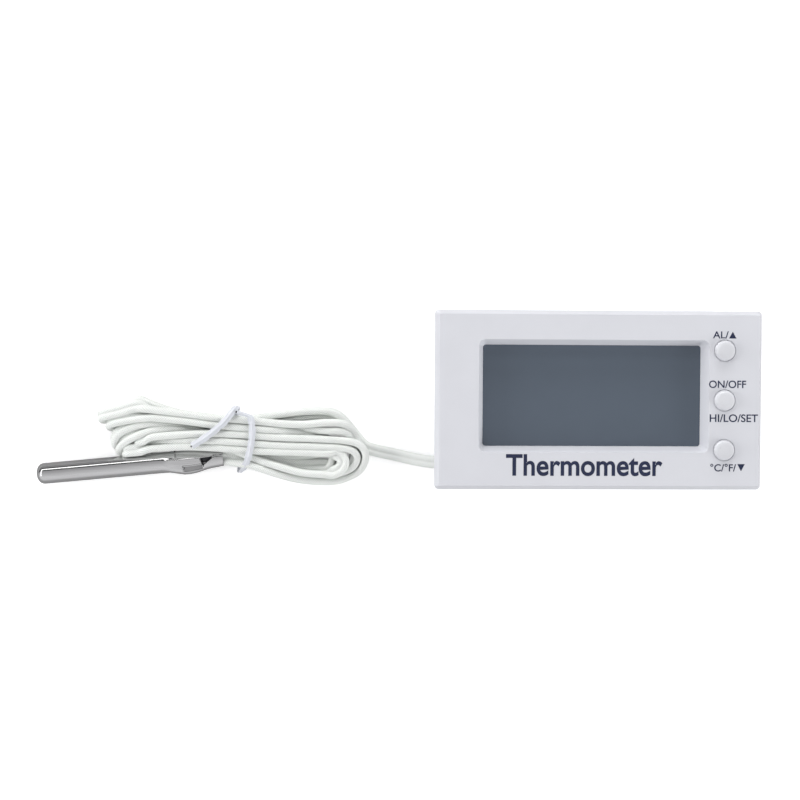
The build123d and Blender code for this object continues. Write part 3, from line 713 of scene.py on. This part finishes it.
printed("legend_name", "Thermometer", -21.9, 14.8, -17.5, -12.6, 0.02)
printed("legend_alarm", "AL/", 26.4, 30.1, 14.65, 16.25)
printed_triangle("legend_up", 30.2, 31.95, 14.6, 16.2)
printed("legend_power", "ON/OFF", 25.6, 34.35, 3.05, 4.75)
printed("legend_set", "HI/LO/SET", 25.85, 37.25, -4.9, -3.15)
printed("legend_unit", "\u00b0C/\u00b0F/", 26.1, 32.2, -16.5, -14.85)
printed_triangle("legend_down", 32.5, 34.25, -14.8, -16.5)

# ---------------------------------------------------------------- floor, light and camera
FLOOR_REACH = 3.0  # from its middle to each side
FLOOR_Z = -0.00003  # a hair below everything that lies on it
PAPER_WHITE, PAPER_ROUGHNESS, PAPER_GLOW = (0.93, 0.93, 0.93), 0.9, 0.36
PAPER_GRAIN, PAPER_DEPTH = 800.0, 0.01
TABLE_GREY = 0.42
floor_mesh = bpy.data.meshes.new("floor")
corners = [(x * FLOOR_REACH, y * FLOOR_REACH, FLOOR_Z) for x, y in ((-1, -1), (1, -1), (1, 1), (-1, 1))]
floor_mesh.from_pydata(corners, [], [(0, 1, 2, 3)])
floor = bpy.data.objects.new("floor", floor_mesh)
bpy.context.scene.collection.objects.link(floor)
paper = Shader(
    "floor_paper", PAPER_WHITE, PAPER_ROUGHNESS,
    Emission_Color=(1.0, 1.0, 1.0, 1.0), Emission_Strength=PAPER_GLOW,
)
paper.bump(paper.noise(PAPER_GRAIN), PAPER_DEPTH)
# The camera sees white paper, while the object is lit as by a greyer table, so that its edges stand out.
table_grey = paper.node("BsdfDiffuse", Color=(TABLE_GREY, TABLE_GREY, TABLE_GREY, 1.0)).outputs[0]
seen = paper.node("LightPath").outputs["Is Camera Ray"]
both = paper.node("MixShader", i0=seen, i1=table_grey, i2=paper.main.outputs[0]).outputs[0]
paper.tree.links.new(both, paper.tree.nodes["Material Output"].inputs[0])
floor_mesh.materials.append(paper.material)

# The room's bands run along X: each one's tilt from straight up towards +Y, in degrees, and its brightness.
BANDS = (
    (-90, 0.62), (-70, 0.88), (-45, 0.93), (-15, 0.74), (10, 0.56), (26, 0.46), (33, 0.06), (62, 0.06),
    (68, 0.38), (90, 0.34),
)
BAND_BLUE = 1.02
# What matt surfaces gather from the room is dimmer than what steel shows of it, as with screens close by.
MATT_SHARE = 0.68
# The camera sees this plain backdrop in place of the room.
BACKDROP = (0.9, 0.9, 0.9, 1.0)

world = bpy.data.worlds.new("studio")
bpy.context.scene.world = world
world.use_nodes = True
tree = world.node_tree
sky = tree.nodes["Background"]
direction = tree.nodes.new("ShaderNodeTexCoord")
axes = tree.nodes.new("ShaderNodeSeparateXYZ")
tilt = tree.nodes.new("ShaderNodeMath")
tilt.operation = "ARCTAN2"
scaled = tree.nodes.new("ShaderNodeMapRange")
scaled.inputs[1].default_value = -math.pi / 2
scaled.inputs[2].default_value = math.pi / 2
bands = tree.nodes.new("ShaderNodeValToRGB")
rays = tree.nodes.new("ShaderNodeLightPath")
backdrop = tree.nodes.new("ShaderNodeMix")
backdrop.data_type = "RGBA"
backdrop.inputs[7].default_value = BACKDROP
dimmer = tree.nodes.new("ShaderNodeMapRange")
dimmer.inputs[3].default_value, dimmer.inputs[4].default_value = 1.0, MATT_SHARE
for source, target in (
    (direction.outputs["Generated"], axes.inputs[0]),
    (axes.outputs[1], tilt.inputs[0]),
    (axes.outputs[2], tilt.inputs[1]),
    (tilt.outputs[0], scaled.inputs[0]),
    (scaled.outputs[0], bands.inputs[0]),
    (rays.outputs["Is Camera Ray"], backdrop.inputs[0]),
    (bands.outputs[0], backdrop.inputs[6]),
    (backdrop.outputs[2], sky.inputs[0]),
    (rays.outputs["Is Diffuse Ray"], dimmer.inputs[0]),
    (dimmer.outputs[0], sky.inputs[1]),
):
    tree.links.new(source, target)
ramp = bands.color_ramp
while len(ramp.elements) < len(BANDS):
    ramp.elements.new(0.5)
for element, (degrees, light) in zip(ramp.elements, BANDS):
    element.position = (degrees + 90) / 180
    element.color = (light, light, light * BAND_BLUE, 1.0)

# Every lamp faces this point of the floor, near the object's middle.
CENTRE = Vector((-0.045, -0.005, 0.0))
# Name, place, width and height, power, and whether it lights matt surfaces and whether shiny ones reflect it.
LIGHTS = (
    ("key", (-0.55, 0.65, 0.55), (0.6, 0.6), 1.1, True, False),
    ("fill_left", (-0.85, 0.05, 0.25), (0.5, 0.5), 5.0, True, False),
    ("fill_back", (0.05, 0.85, 0.22), (0.8, 0.4), 6.6, True, False),
    ("fill_right", (0.75, -0.3, 0.30), (0.6, 0.5), 4.9, True, False),
    ("fill_front", (-0.10, -0.85, 0.25), (0.8, 0.4), 1.4, True, False),
    ("strip", (-0.10, 0.73, 0.68), (1.4, 0.15), 2.0, True, True),
    ("tip_glint", (-0.80, 0.10, 0.72), (1.2, 0.30), 2.0, False, True),
)
for name, place, (width, height), power, matt, shiny in LIGHTS:
    lamp = bpy.data.lights.new(name, "AREA")
    lamp.shape = "RECTANGLE"
    lamp.size, lamp.size_y, lamp.energy = width, height, power
    holder = bpy.data.objects.new(name, lamp)
    bpy.context.scene.collection.objects.link(holder)
    holder.location = place
    holder.rotation_mode = "QUATERNION"
    holder.rotation_quaternion = (CENTRE - Vector(place)).to_track_quat("-Z", "Y")
    holder.visible_diffuse, holder.visible_glossy = matt, shiny

CAMERA_PLACE = (-0.06245, 0.01132, 0.39359)
CAMERA_TURN = (-1.742, -2.401, 0.241)  # degrees about X, Y and Z
CAMERA_LENS, CAMERA_SENSOR = 72.95, 36.0
camera_data = bpy.data.cameras.new("camera")
camera_data.sensor_width = CAMERA_SENSOR
camera_data.lens = CAMERA_LENS
camera_data.clip_start, camera_data.clip_end = 0.01, 20.0
camera = bpy.data.objects.new("camera", camera_data)
bpy.context.scene.collection.objects.link(camera)
turn = Matrix.Identity(4)
for degrees, axis in zip(CAMERA_TURN, "XYZ"):
    turn = turn @ Matrix.Rotation(math.radians(degrees), 4, axis)
camera.matrix_world = Matrix.Translation(CAMERA_PLACE) @ turn
bpy.context.scene.camera = camera
bpy.context.scene.view_settings.view_transform = "Standard"
